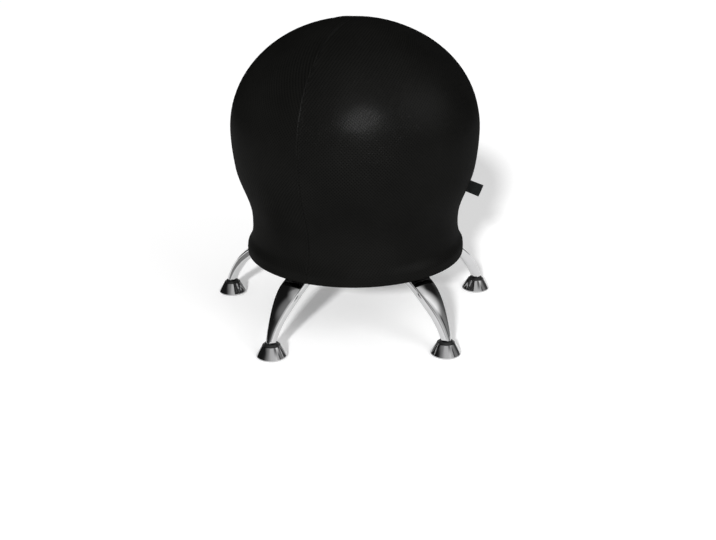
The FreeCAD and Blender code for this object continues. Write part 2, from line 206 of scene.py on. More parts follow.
def coverFinish():
    # knitted mesh: staggered rows of small holes, with fine loops between them; the holes are coloured darker
    # than the yarn, as painted shade inside them
    n = Nodes("coverMesh")
    uv = n.add("ShaderNodeUVMap", uv_map="cloth").outputs["UV"]
    split = n.add("ShaderNodeSeparateXYZ", {"Vector": uv})
    across = n.math("MULTIPLY", split.outputs["X"], math.tau / coverLook["holePitchU"])
    along = n.math("MULTIPLY", split.outputs["Y"], math.tau / coverLook["holePitchV"])
    lattice = n.math("MULTIPLY", n.math("COSINE", across), n.math("COSINE", along))
    hole = n.add("ShaderNodeMapRange", {"Value": lattice, "From Min": 0.12, "From Max": 0.6},
                 interpolation_type="SMOOTHSTEP").outputs["Result"]
    loops = n.math("SINE", n.math("MULTIPLY", split.outputs["Y"], math.tau / coverLook["loopPitch"]))
    plies = n.math("SINE", n.math("MULTIPLY", split.outputs["X"], math.tau / coverLook["plyPitch"]))
    knit = n.math("MULTIPLY", loops, plies)
    where = n.add("ShaderNodeTexCoord").outputs["Object"]
    wear = n.add("ShaderNodeTexNoise", {"Vector": where, "Scale": 9.0, "Detail": 5.0}).outputs["Fac"]
    lint = n.add("ShaderNodeTexNoise", {"Vector": where, "Scale": 420.0, "Detail": 2.0}).outputs["Fac"]
    dark = tuple(c * 0.8 for c in coverLook["yarn"])
    light = tuple(c * 1.22 for c in coverLook["yarn"])
    yarn = ramp(n, n.math("ADD", n.math("MULTIPLY", wear, 0.7), n.math("MULTIPLY", lint, 0.3)),
                [(0.35, dark), (0.65, light)])
    # the darker colour of the holes is painted shade
    body = n.add("ShaderNodeMix", {"Factor": hole, 6: yarn, 7: (*coverLook["hole"], 1)}, data_type="RGBA")
    n.link(body.outputs[2], "Base Color")
    height = n.math("ADD", n.math("MULTIPLY", hole, -1.0), n.math("MULTIPLY", knit, 0.12))
    bump = n.add("ShaderNodeBump", {"Height": height, "Strength": 0.6, "Distance": coverLook["relief"]})
    n.link(bump.outputs["Normal"], "Normal")
    soft = n.add("ShaderNodeBump", {"Height": height, "Strength": 0.6, "Distance": coverLook["coatRelief"]})
    n.link(soft.outputs["Normal"], "Coat Normal")
    rough = n.add("ShaderNodeMapRange", {"Value": hole, "To Min": coverLook["roughness"],
                                         "To Max": coverLook["holeRoughness"]})
    n.link(rough.outputs["Result"], "Roughness")
    # the polish of the yarn is a thin coat, which stays dark at the rim
    n.set(Specular_IOR_Level=0.0, Coat_Weight=coverLook["coat"], Coat_Roughness=coverLook["coatRoughness"])
    return n.material


def tapeFinish(name, color, bands, gloss=0.2):
    # narrow woven tape with slanting ribs
    n = Nodes(name)
    where = n.add("ShaderNodeTexCoord").outputs["Object"]
    rib = n.add("ShaderNodeTexWave", {"Vector": where, "Scale": bands, "Distortion": 0.6, "Detail": 1.0},
                bands_direction="DIAGONAL").outputs["Fac"]
    fuzz = n.add("ShaderNodeTexNoise", {"Vector": where, "Scale": 500.0}).outputs["Fac"]
    n.link(ramp(n, rib, [(0.2, tuple(c * 0.6 for c in color)), (0.8, tuple(c * 1.3 for c in color))]),
           "Base Color")
    bump = n.add("ShaderNodeBump", {"Height": n.math("ADD", rib, n.math("MULTIPLY", fuzz, 0.4)),
                                    "Strength": 0.5, "Distance": 0.0002})
    n.link(bump.outputs["Normal"], "Normal")
    n.set(Roughness=0.7, Specular_IOR_Level=gloss)
    return n.material


finishes = {
    "cover": coverFinish(),
    "tag": tapeFinish("tagTape", (0.0042, 0.005, 0.005), 176.367, 0.12),
    "binding": tapeFinish("hemTape", (0.015, 0.015, 0.015), 144.3),
    "elastic": tapeFinish("hemElastic", (0.02, 0.02, 0.02), 264.55),
    "ball": plasticFinish("ballVinyl", (0.16, 0.17, 0.19), 0.42, 700.0),
    "plug": plasticFinish("plugPlastic", (0.75, 0.74, 0.7), 0.4),
    "tray": plasticFinish("trayPlastic", (0.022, 0.022, 0.022), 0.52, 900.0, 0.00015),
    "plate": plasticFinish("plateCoat", (0.02, 0.02, 0.021), 0.38, 1100.0, 0.0001),
    "brass": metalFinish("insertBrass", (0.7, 0.52, 0.24), 0.3),
    "zinc": metalFinish("screwZinc", (0.6, 0.61, 0.63), 0.32),
    "legChrome": chromeFinish("legChrome", 0.6),
    "glideChrome": chromeFinish("glideChrome", 0.58),
    "thread": tapeFinish("seamThread", (0.0066, 0.0066, 0.0062), 226.757, 0.08),
    "nylon": plasticFinish("blackNylon", (0.007, 0.007, 0.007), 0.34),
    "sole": plasticFinish("soleNylon", (0.34, 0.34, 0.33), 0.6),
}
print("materials ready")


# Seat cover

cover = {
    "seatR": 0.225, "widestZ": 0.357, "domeH": 0.1928,
    "side": ((0.225, 0.357), (0.2192, 0.290), (0.1916, 0.192), (0.1949, 0.157), (0.2034, 0.137)),
    "rimSlope": 0.06,
    "bendZ": 0.12685, "wallMidR": 0.19975, "outBend": 0.00365, "tuckH": 0.0062,   # where it turns under
    "clothT": 0.0016,
    "domeSteps": 26, "sideSteps": 9, "bendSteps": 8,
    "nearSteps": (0.0006, 0.0008, 0.0012, 0.0016, 0.0024),   # widths of the narrow faces beside a seam
    "panelSteps": 34,
    "seamHalf": 0.0042,       # half width of a seam's raised fold
    "seamUp": 0.0007, "ridgeAt": 0.55, "ridgeHalf": 0.35,    # the last two in half widths of the seam
    "seamDip": 0.0011, "dipHalf": 0.22,                      # and this one
    "seamFadeR": 0.012,       # nearer to the crown than this the seams fade out
}


def smoothThrough(points, first, last, steps):
    # cubic through the points, with given end slopes; the middle slopes follow the neighbours
    gaps = [math.dist(a, b) for a, b in zip(points, points[1:])]
    slopes = [Vector(first)]
    for i in range(1, len(points) - 1):
        before = (Vector(points[i]) - Vector(points[i - 1])) / gaps[i - 1]
        after = (Vector(points[i + 1]) - Vector(points[i])) / gaps[i]
        slopes.append((before * gaps[i] + after * gaps[i - 1]) / (gaps[i] + gaps[i - 1]))
    slopes.append(Vector(last))
    made = []
    for i, gap in enumerate(gaps):
        a, b = Vector(points[i]), Vector(points[i + 1])
        for k in range(steps):
            t = k / steps
            made.append(a * (2 * t**3 - 3 * t**2 + 1) + slopes[i] * gap * (t**3 - 2 * t**2 + t)
                        + b * (3 * t**2 - 2 * t**3) + slopes[i + 1] * gap * (t**3 - t**2))
    made.append(Vector(points[-1]))
    return [(p[0], p[1]) for p in made]


def coverOutline():
    points = []
    for i in range(cover["domeSteps"]):
        t = math.pi / 2 * i / cover["domeSteps"]
        points.append((cover["seatR"] * math.sin(t), cover["widestZ"] + cover["domeH"] * math.cos(t)))
    points += smoothThrough(cover["side"], (0, -1), (cover["rimSlope"], -1), cover["sideSteps"])
    points.append((cover["wallMidR"] + cover["outBend"], cover["bendZ"]))
    for i in range(1, cover["bendSteps"] + 1):
        t = math.pi * i / cover["bendSteps"]
        points.append((cover["wallMidR"] + cover["outBend"] * math.cos(t),
                       cover["bendZ"] - cover["outBend"] * math.sin(t)))
    points.append((cover["wallMidR"] - cover["outBend"], cover["bendZ"] + cover["tuckH"]))
    return points


def spinCover():
    outline = coverOutline()
    bm = bmesh.new()
    down = bm.verts.layers.float.new("down")
    verts = [bm.verts.new((r, 0, z)) for r, z in outline]
    edges = [bm.edges.new(pair) for pair in zip(verts, verts[1:])]
    for before, vert, a, b in zip(verts, verts[1:], outline, outline[1:]):
        vert[down] = before[down] + math.dist(a, b)
    seams = [math.radians(a - 90) for a in chair["seams"]]
    bmesh.ops.rotate(bm, verts=bm.verts, cent=(0, 0, 0), matrix=Matrix.Rotation(seams[0], 3, "Z"))
    geom = verts + edges
    near = [s / cover["seatR"] for s in cover["nearSteps"]]
    for i, start in enumerate(seams):
        end = seams[(i + 1) % len(seams)]
        span = (end - start) % math.tau
        wide = (span - 2 * sum(near)) / cover["panelSteps"]
        for angle in near + [wide] * cover["panelSteps"] + near[::-1]:
            made = bmesh.ops.spin(bm, geom=geom, cent=(0, 0, 0), axis=(0, 0, 1), dvec=(0, 0, 0),
                                  angle=angle, steps=1, use_duplicate=False)
            geom = made["geom_last"]
    bmesh.ops.remove_doubles(bm, verts=bm.verts, dist=2e-6)
    bmesh.ops.recalc_face_normals(bm, faces=bm.faces)
    return bm, outline, seams


def seamOffset(point, seams):
    # the cloth rises beside a seam and dips into it
    turn = math.atan2(point.y, point.x)
    r = math.hypot(point.x, point.y)
    away = min(abs((turn - s + math.pi) % math.tau - math.pi) for s in seams) * r
    x = away / cover["seamHalf"]
    rise = cover["seamUp"] * math.exp(-((x - cover["ridgeAt"]) / cover["ridgeHalf"]) ** 2)
    dip = cover["seamDip"] * math.exp(-(x / cover["dipHalf"]) ** 2)
    fade = min(1.0, r / cover["seamFadeR"])
    return (rise - dip) * fade


slack = {
    "waves": 9, "waveDepth": 0.0004, "waveZ": 0.2, "waveReach": 0.05,
    "puckers": 57, "puckerDepth": 0.00022, "puckerZ": 0.142, "puckerReach": 0.012,
    "swells": 3, "swellDepth": 0.0003, "swellFromR": 0.1,
}


def clothEase(point, turn):
    # slack at the waist, small puckers above the rim and a slow swell everywhere
    r = math.hypot(point.x, point.y)
    waist = math.exp(-((point.z - slack["waveZ"]) / slack["waveReach"]) ** 2)
    gather = math.exp(-((point.z - slack["puckerZ"]) / slack["puckerReach"]) ** 2)
    wave = math.sin(slack["waves"] * turn + 1.7 * math.sin(4 * turn) + 14 * point.z)
    pucker = math.sin(slack["puckers"] * turn + 2.2 * math.sin(7 * turn))
    swell = math.sin(slack["swells"] * turn + 9 * point.z) * min(1.0, r / slack["swellFromR"])
    return (slack["waveDepth"] * waist * wave + slack["puckerDepth"] * gather * pucker
            + slack["swellDepth"] * swell)


def clothMap(bm, seams):
    # distances on the cloth in metres: u from the middle of a panel, v down from the crown
    down = bm.verts.layers.float["down"]
    layer = bm.loops.layers.uv.new("cloth")
    for face in bm.faces:
        mid = face.calc_center_median()
        turn = math.atan2(mid.y, mid.x)
        panel = max(range(len(seams)), key=lambda i: -((turn - seams[i]) % math.tau))
        span = (seams[(panel + 1) % len(seams)] - seams[panel]) % math.tau
        centre = seams[panel] + span / 2
        for loop in face.loops:
            p = loop.vert.co
            r = math.hypot(p.x, p.y)
            here = math.atan2(p.y, p.x) if r > 1e-5 else turn
            u = ((here - centre + math.pi) % math.tau - math.pi) * r
            loop[layer].uv = (u, loop.vert[down])


def makeCover():
    bm, outline, seams = spinCover()
    clothMap(bm, seams)
    bm.normal_update()
    moves = {v: v.normal * (seamOffset(v.co, seams) + clothEase(v.co, math.atan2(v.co.y, v.co.x)))
             for v in bm.verts}
    for vert, move in moves.items():
        vert.co += move
    piece = makePiece("seatCover", bm, finishes["cover"])
    return piece, outline, seams


coverPiece, coverLine, seamTurns = makeCover()
wall = coverPiece.modifiers.new("wall", "SOLIDIFY")
wall.thickness = cover["clothT"]
wall.offset = -1.0
print("cover made", len(coverPiece.data.polygons))


def sinksWithSeat(piece):
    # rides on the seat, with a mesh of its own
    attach(piece, "seat")
    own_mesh(piece)


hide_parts("seat_cover")
sinksWithSeat(coverPiece)


# Stitches: a row of short threads on each side of every seam

stitch = {
    "pitch": 0.0034, "length": 0.0026, "radius": 0.0003, "beside": 0.0021,
    "first": 0.006, "proud": 0.00004,
    "nearestR": 0.004,        # limits how far a row turns aside at the crown
    "lastGap": 0.02,          # left free at the cover's turned-in edge
    "atATime": 20,
}


def alongOutline(outline, down):
    # place, direction and outward normal on the cover's outline, at a distance down from the crown
    for a, b in zip(outline, outline[1:]):
        step = math.dist(a, b)
        if down <= step:
            t = down / step
            way = ((b[0] - a[0]) / step, (b[1] - a[1]) / step)
            return (a[0] + (b[0] - a[0]) * t, a[1] + (b[1] - a[1]) * t), way, (-way[1], way[0])
        down -= step
    return None


def addStitch(bm, at, along, normal):
    side = normal.cross(along)
    turn = Matrix((along, side, normal)).transposed().to_4x4()
    size = Matrix.Diagonal((stitch["length"] / 2, stitch["radius"], stitch["radius"], 1))
    lay = Matrix.Rotation(math.pi / 2, 4, "Y")
    bmesh.ops.create_uvsphere(bm, u_segments=6, v_segments=4, radius=1.0,
                              matrix=Matrix.Translation(at) @ turn @ size @ lay)


def stitchRow(outline, seams, seam, side, first, last):
    bm = bmesh.new()
    down = first
    while down < last:
        (r, z), way, out = alongOutline(outline, down)
        turn = seam + side * stitch["beside"] / max(r, stitch["nearestR"])
        outward = Vector((math.cos(turn), math.sin(turn), 0))
        flat = outward * r + Vector((0, 0, z))
        normal = (outward * out[0] + Vector((0, 0, out[1]))).normalized()
        along = (outward * way[0] + Vector((0, 0, way[1]))).normalized()
        lift = seamOffset(flat, seams) + clothEase(flat, turn) + stitch["proud"]
        addStitch(bm, flat + normal * lift, along, normal)
        down += stitch["pitch"]
    row = bpy.data.meshes.new("row")
    bm.to_mesh(row)
    bm.free()
    return row


def makeStitches(outline, seams):
    # short lengths at a time, and then all of them in one piece
    bm = bmesh.new()
    whole = sum(math.dist(a, b) for a, b in zip(outline, outline[1:])) - stitch["lastGap"]
    length = stitch["pitch"] * stitch["atATime"]
    for seam in seams:
        for side in (-1, 1):
            first = stitch["first"] + (stitch["pitch"] / 2 if side > 0 else 0)
            for k in range(int((whole - first) / length) + 1):
                start = first + k * length
                row = stitchRow(outline, seams, seam, side, start, min(start + length - 1e-6, whole))
                bm.from_mesh(row)
                bpy.data.meshes.remove(row)
    return makePiece("seamStitches", bm, finishes["thread"])


stitches = makeStitches(coverLine, seamTurns)
sinksWithSeat(stitches)
print("stitches made", len(stitches.data.polygons))


# Side tag: one tape, folded in two, with its ends sewn into the side seam

tag = {
    "out": 0.0335, "tall": 0.023, "atR": 0.2049, "atZ": 0.2443, "tilt": 22.6,
    "root": 0.005,            # length inside the seam
    "layer": 0.00034,         # half the distance between the two layers at the seam
    "open": 0.0006,           # how much wider they stand at the fold
    "tapeT": 0.0005, "curl": 0.0011, "cornerPull": 0.0005,
    "rows": 14, "layerSteps": 12, "foldSteps": 8,
}


def tagPath():
    # across the tag: out on one layer, round the fold, back on the other
    path = []
    reach = tag["out"] - tag["layer"] - tag["open"] - tag["tapeT"] / 2
    for i in range(tag["layerSteps"] + 1):
        x = -tag["root"] + (reach + tag["root"]) * i / tag["layerSteps"]
        path.append((x, -tag["layer"] - tag["open"] * max(0.0, x / reach) ** 3))
    back = [(x, -y) for x, y in reversed(path)]
    half = tag["layer"] + tag["open"]
    for i in range(1, tag["foldSteps"]):
        a = -math.pi / 2 + math.pi * i / tag["foldSteps"]
        path.append((reach + half * math.cos(a), half * math.sin(a)))
    return path + back


def makeTag():
    bm = bmesh.new()
    verts = [bm.verts.new((x, y, -tag["tall"] / 2)) for x, y in tagPath()]
    edges = [bm.edges.new(pair) for pair in zip(verts, verts[1:])]
    for row in range(tag["rows"]):
        made = bmesh.ops.extrude_edge_only(bm, edges=edges)["geom"]
        verts = [v for v in made if isinstance(v, bmesh.types.BMVert)]
        edges = [e for e in made if isinstance(e, bmesh.types.BMEdge)]
        bmesh.ops.translate(bm, verts=verts, vec=(0, 0, tag["tall"] / tag["rows"]))
    for vert in bm.verts:
        x, z = vert.co.x / tag["out"], vert.co.z / (tag["tall"] / 2)
        vert.co.y += tag["curl"] * max(0.0, x) ** 2 * (0.6 * z + 0.4 * math.sin(2.4 * z + 0.7))
        vert.co.x -= tag["cornerPull"] * z * z * max(0.0, x)
    bmesh.ops.recalc_face_normals(bm, faces=bm.faces)
    bmesh.ops.rotate(bm, verts=bm.verts, cent=(0, 0, 0),
                     matrix=Matrix.Rotation(math.radians(tag["tilt"]), 3, "Y"))
    bmesh.ops.translate(bm, verts=bm.verts, vec=(tag["atR"], 0, tag["atZ"]))
    return makePiece("sideTag", bm, finishes["tag"])


tagPiece = makeTag()
tape = tagPiece.modifiers.new("tape", "SOLIDIFY")
tape.thickness = tag["tapeT"]
tape.offset = 0.0
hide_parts("side_tag")
sinksWithSeat(tagPiece)
print("tag made")


# Hem: a gathered tunnel along the cover's edge, with the elastic in it

hem = {
    "midR": 0.1923, "midZ": 0.12995, "half": 0.0035, "tapeT": 0.0007,
    "gathers": 118, "gatherDepth": 0.00042, "sides": 18, "steps": 720,
    "elasticR": 0.0025, "braids": 8, "braidTurns": 64, "braidDepth": 0.00014,
    "elasticSides": 24, "elasticSteps": 640,
}


def hemRing(radius, sides, steps):
    bm = bmesh.new()
    made = bmesh.ops.create_circle(bm, cap_ends=False, segments=sides, radius=radius,
                                   matrix=Matrix.Translation((hem["midR"], 0, hem["midZ"]))
                                   @ Matrix.Rotation(math.pi / 2, 4, "X"))["verts"]
    edges = list({e for v in made for e in v.link_edges})
    bmesh.ops.spin(bm, geom=made + edges, cent=(0, 0, 0), axis=(0, 0, 1), dvec=(0, 0, 0),
                   angle=math.tau, steps=steps, use_merge=True, use_duplicate=False)
    bmesh.ops.recalc_face_normals(bm, faces=bm.faces)
    return bm


def shapeRing(bm, shape):
    # moves each point of the ring out from the ring's own middle line
    for vert in bm.verts:
        turn = math.atan2(vert.co.y, vert.co.x)
        centre = Vector((math.cos(turn), math.sin(turn), 0)) * hem["midR"] + Vector((0, 0, hem["midZ"]))
        arm = vert.co - centre
        about = math.atan2(arm.z, math.hypot(vert.co.x, vert.co.y) - hem["midR"])
        vert.co += arm.normalized() * shape(turn, about)


def gathered(turn, about):
    wave = math.sin(hem["gathers"] * turn + 2.6 * math.sin(11 * turn) + 0.8 * math.sin(about))
    return -hem["gatherDepth"] * (0.5 + 0.5 * wave) * (1.0 - 0.35 * math.cos(about))


def braided(turn, about):
    return hem["braidDepth"] * (math.cos(hem["braids"] * about + hem["braidTurns"] * turn)
                                + math.cos(hem["braids"] * about - hem["braidTurns"] * turn)) / 2


tunnel = hemRing(hem["half"], hem["sides"], hem["steps"])
shapeRing(tunnel, gathered)
binding = makePiece("hemBinding", tunnel, finishes["binding"])
sleeve = binding.modifiers.new("tape", "SOLIDIFY")
sleeve.thickness = hem["tapeT"]
sleeve.offset = -1.0
cord = hemRing(hem["elasticR"], hem["elasticSides"], hem["elasticSteps"])
shapeRing(cord, braided)
elastic = makePiece("hemElastic", cord, finishes["elastic"])
for piece, node, slotName in (
    (binding, "hem_binding", "binding_tape"),
    (elastic, "hem_elastic", "elastic_cord"),
):
    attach(piece, "frame")
    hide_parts(node)
print("hem made")

coverArea = sum(math.pi * (a[0] + b[0]) * math.dist(a, b) for a, b in zip(coverLine, coverLine[1:]))
print("cover area", round(coverArea, 3))


# Ball: a moulded vinyl shell with shallow grip grooves and the bore for its stopper

ball = {
    "halfW": 0.2231, "widestZ": 0.357, "up": 0.1909, "down": 0.211, "fullness": 2.3, "wall": 0.0022,
    "boreR": 0.0045, "sleeveL": 0.014,
    "boreClear": 0.002,       # the round outline stops this far from the bore's wall
    "grooveDepth": 0.0007, "grooveHalf": 0.03, "groovePlaces": (-0.62, -0.42, -0.22, 0.22, 0.42, 0.62),
    "mouldLine": 0.0003, "mouldLineHalf": 0.006,
    "outerSteps": 150, "innerSteps": 90, "turnSteps": 144,
}


def ballEdge(inset, first, last, steps):
    # a is -1 at the bottom, 0 at the widest height and 1 at the crown
    line = []
    for i in range(steps + 1):
        a = first + (last - first) * i / steps
        depth = sum(math.exp(-((a - g) / ball["grooveHalf"]) ** 2) for g in ball["groovePlaces"])
        mouldLine = ball["mouldLine"] * math.exp(-(a / ball["mouldLineHalf"]) ** 2)
        sink = inset + (ball["grooveDepth"] * depth - mouldLine if inset == 0 else 0.0)
        angle = math.pi / 2 * abs(a)
        if a >= 0:
            r, z = math.cos(angle) * (ball["halfW"] - sink), math.sin(angle) * (ball["up"] - sink)
        else:
            e = 2 / ball["fullness"]
            r = max(0.0, math.cos(angle)) ** e * (ball["halfW"] - sink)
            z = -math.sin(angle) ** e * (ball["down"] - sink)
        line.append((max(r, 0.0), ball["widestZ"] + z))
    return line


def makeBall():
    bottom = ball["widestZ"] - ball["down"]
    wall = ball["wall"]
    top = bottom + ball["sleeveL"] + wall / 2
    clear = ball["boreR"] + ball["boreClear"]
    shell = [p for p in ballEdge(0, 1, -1, ball["outerSteps"]) if p[1] > ball["widestZ"] or p[0] > clear]
    shell[0] = (0, shell[0][1])
    inside = [p for p in ballEdge(wall, -1, 1, ball["innerSteps"])
              if p[1] > ball["widestZ"] or p[0] > clear + wall]
    inside[-1] = (0, inside[-1][1])
    neck = [(ball["boreR"], bottom), (ball["boreR"], top), (ball["boreR"] + wall, top),
            (ball["boreR"] + wall, bottom + wall)]
    bm = lathe(shell + neck + inside, ball["turnSteps"], closed=False)
    return makePiece("ballShell", bm, finishes["ball"], 50)


ballPiece = makeBall()
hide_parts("ball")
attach(ballPiece, "seat")
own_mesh(ballPiece)
print("ball made", len(ballPiece.data.polygons))


# Legs

leg = {
    "bendR": 0.148, "thick": 0.018, "hubZ": 0.133, "endR": 0.068,
    "tipZ": 0.0272, "tipCut": 0.0006,        # the tip and how much of it is cut, so the glide can tilt
    "overrun": 6.0,                          # degrees swept past the tip before it is cut level
    "tipWidth": 0.0192, "topWidth": 0.0435, "widening": 0.55,
    "faceShare": 0.52, "facePower": 0.38,    # how fast the flat outer face opens from its point at the tip
    "edgeRound": 0.0017,                     # softness of the crease beside that face
    "crown": 0.055, "crownFade": 0.3,        # bow of the outer face, against its width; it ends under the hub
    "squareness": 1.6, "squareBy": 0.4,      # how boxy the section gets, and by which share of the bend
    "wall": 0.0018, "rings": 60, "ringSteps": 56, "flatRings": 3,
}


def legOutline(turn, width, thick, faceHalf, crown, power):
    # turn 0 is the middle of the outer face, and half a turn the middle of the inner one
    side = 1 if turn <= 0.5 else -1
    t = 2 * turn if turn <= 0.5 else 2 * (1 - turn)
    faceTo, sideTo = 0.3, 0.62
    if t < faceTo:
        y = faceHalf * t / faceTo
        return side * y, thick / 2 + crown * (1 - (t / faceTo) ** 2)
    if t < sideTo:
        a = math.pi / 2 * (t - faceTo) / (sideTo - faceTo)
        return side * (faceHalf + (width / 2 - faceHalf) * math.sin(a)), thick / 2 * math.cos(a)
    a = math.pi / 2 * (t - sideTo) / (1 - sideTo)
    y = width / 2 * max(0.0, math.cos(a)) ** (2 / power)
    return side * y, -thick / 2 * math.sin(a) ** (2 / power)


def legRing(bm, centre, out, sizes):
    # the circle gives the ring its edges; every point is then set on the leg's section
    made = bmesh.ops.create_circle(bm, cap_ends=False, segments=leg["ringSteps"], radius=0.01)["verts"]
    for i, vert in enumerate(made):
        y, n = legOutline(i / len(made), *sizes)
        vert.co = centre + out * n + Vector((0, y, 0))
    return list({e for v in made for e in v.link_edges})


def makeLeg(number):
    midZ = leg["hubZ"] - leg["thick"] / 2
    bendZ = midZ - leg["bendR"]
    tip = math.asin((leg["tipZ"] - bendZ) / leg["bendR"])
    bendX = chair["footCircle"] - leg["bendR"] * math.cos(tip)
    start = tip - math.radians(leg["overrun"])
    bm = bmesh.new()
    rings = []
    for i in range(leg["rings"]):
        a = start + (math.pi / 2 - start) * i / (leg["rings"] - 1)
        share = max(0.0, (a - tip) / (math.pi / 2 - tip))
        s = min(1.0, share / leg["widening"])
        ease = s * s * (3 - 2 * s)
        width = leg["tipWidth"] + (leg["topWidth"] - leg["tipWidth"]) * ease
        opened = min(1.0, max(share, 0.004) / leg["faceShare"]) ** leg["facePower"]
        faceHalf = (width / 2 - leg["edgeRound"]) * opened
        level = min(1.0, (1 - share) / leg["crownFade"]) ** 2
        crown = leg["crown"] * 2 * faceHalf * level
        power = 2 + leg["squareness"] * min(1.0, share / leg["squareBy"])
        centre = Vector((bendX + leg["bendR"] * math.cos(a), 0, bendZ + leg["bendR"] * math.sin(a)))
        out = Vector((math.cos(a), 0, math.sin(a)))
        rings.append(legRing(bm, centre, out, (width, leg["thick"], faceHalf, crown, power)))
    topHalf = leg["topWidth"] / 2 - leg["edgeRound"]
    flat = (leg["topWidth"], leg["thick"], topHalf, 0.0, 2 + leg["squareness"])
    for k in range(1, leg["flatRings"] + 1):
        x = bendX + (leg["endR"] - bendX) * k / leg["flatRings"]
        rings.append(legRing(bm, Vector((x, 0, midZ)), Vector((0, 0, 1)), flat))
    for a, b in zip(rings, rings[1:]):
        bmesh.ops.bridge_loops(bm, edges=a + b)
    bmesh.ops.bisect_plane(bm, geom=list(bm.verts) + list(bm.edges) + list(bm.faces), dist=1e-7,
                           plane_co=(0, 0, leg["tipZ"] + leg["tipCut"]), plane_no=(0, 0, -1),
                           clear_outer=True)
    bmesh.ops.recalc_face_normals(bm, faces=bm.faces)
    place(bm, legAngle(number))
    piece = makePiece(f"legTube{number}", bm, finishes["legChrome"])
    tube = piece.modifiers.new("wall", "SOLIDIFY")
    tube.thickness = leg["wall"]
    tube.offset = -1.0
    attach(piece, "frame")
    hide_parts(f"leg_{number}")


for number in range(1, chair["legCount"] + 1):
    makeLeg(number)
print("legs made")


# Glides

glide = {
    "baseR": 0.0272, "topR": 0.0156, "topZ": 0.022, "edgeZ": 0.0034, "lift": 0.0012,
    "thick": 0.0012, "lip": 0.0016, "edgeRound": 0.00045,
    "padT": 0.003, "padEdge": 0.001, "gap": 0.0001,
    "turnSteps": 96, "padSteps": 72,
}


def makeGlide(number):
    g = glide
    slope = (g["baseR"] - g["topR"]) / (g["topZ"] - g["edgeZ"])
    innerR = g["baseR"] - g["thick"] * math.hypot(1, slope)
    neckR = innerR - slope * (g["topZ"] - g["thick"] - g["edgeZ"])
    cone = lathe([
        (g["baseR"], g["lift"]), (g["baseR"], g["edgeZ"]), (g["topR"], g["topZ"]),
        (g["topR"] - g["lip"], g["topZ"]), (g["topR"] - g["lip"], g["topZ"] - g["thick"]),
        (neckR, g["topZ"] - g["thick"]), (innerR, g["edgeZ"]), (innerR, g["lift"]),
    ], g["turnSteps"])
    softenRings(cone, g["edgeRound"])
    padR = innerR - g["gap"]
    sole = lathe([(0, 0), (padR - g["padEdge"], 0), (padR, g["padEdge"]), (padR, g["padT"]), (0, g["padT"])],
                 g["padSteps"], closed=False)
    for name, bm, finish, node, slotName in (
        ("glideCone", cone, "glideChrome", "glide_cone", "glide_chrome"),
        ("glideSole", sole, "sole", "glide_pad", "sole_nylon"),
    ):
        place(bm, legAngle(number), chair["footCircle"])
        piece = makePiece(f"{name}{number}", bm, finishes[finish], 40)
        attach(piece, f"glide_{number}")
        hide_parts(f"{node}_{number}")


for number in range(1, chair["legCount"] + 1):
    makeGlide(number)
print("glides made")


# Parts kept from the frame

nodes = frame["nodes"]
nodeFinish = {
    "air_plug": "plug", "base_tray": "tray", "hub_plate": "plate", "tray_inserts": "brass",
    "leg_bolts": "zinc", "leg_washers": "zinc",
}
for number in range(1, chair["legCount"] + 1):
    nodeFinish[f"leg_cap_{number}"] = "nylon"
    nodeFinish[f"foot_insert_{number}"] = "nylon"
    nodeFinish[f"ball_stud_{number}"] = "zinc"
    nodeFinish[f"glide_socket_{number}"] = "nylon"
for name, finish in nodeFinish.items():
    mesh = nodes[name].data
    mesh.materials.clear()
    mesh.materials.append(finishes[finish])
print("kept parts coloured", len(nodeFinish))


# Floor, light and camera

studio = {
    "floorHalf": 40, "floorColor": 0.98,
    "floorGlow": 0.16,        # lifts the paper to white for what looks at it, and keeps the shadow
    "ambient": 0.45,
    "sun": 3.35, "sunTurn": -14.5, "sunHeight": 23.5, "sunSoft": 5.0, "sunAway": 4,
    "fill": 11.0, "fillTurn": 38.0, "fillHeight": 42.0, "fillAway": 2.3, "fillSize": 1.2,
    "side": 20.0, "sideTurn": 66.0, "sideHeight": 34.0, "sideAway": 2.2, "sideSize": 1.4,
    "glint": 205.0, "glintSpread": 17.0, "glintAt": (0.12, -1.75, 1.22), "glintAim": (0, -0.19, 0.46),
}


def lookingRays(tree):
    # 1 for the camera and for what reflections and clear things show of the room
    rays = tree.nodes.new("ShaderNodeLightPath")
    top = rays.outputs["Is Camera Ray"]
    for name in ("Is Glossy Ray", "Is Transmission Ray"):
        either = tree.nodes.new("ShaderNodeMath")
        either.operation = "MAXIMUM"
        tree.links.new(top, either.inputs[0])
        tree.links.new(rays.outputs[name], either.inputs[1])
        top = either.outputs[0]
    return top


def makeFloor():
    bm = bmesh.new()
    bmesh.ops.create_grid(bm, x_segments=1, y_segments=1, size=studio["floorHalf"])
    n = Nodes("floorPaper")
    n.set(Roughness=0.9, Specular_IOR_Level=0.0)
    n.shader.inputs["Base Color"].default_value = (studio["floorColor"],) * 3 + (1,)
    n.shader.inputs["Emission Color"].default_value = (1, 1, 1, 1)
    glow = n.math("MULTIPLY", lookingRays(n.tree), studio["floorGlow"])
    n.link(glow, "Emission Strength")
    makePiece("studioFloor", bm, n.material)


def hideFromView(piece):
    # leaves it for reflections only
    piece.visible_camera = False
    piece.visible_diffuse = False
    piece.visible_shadow = False
    piece.visible_transmission = False


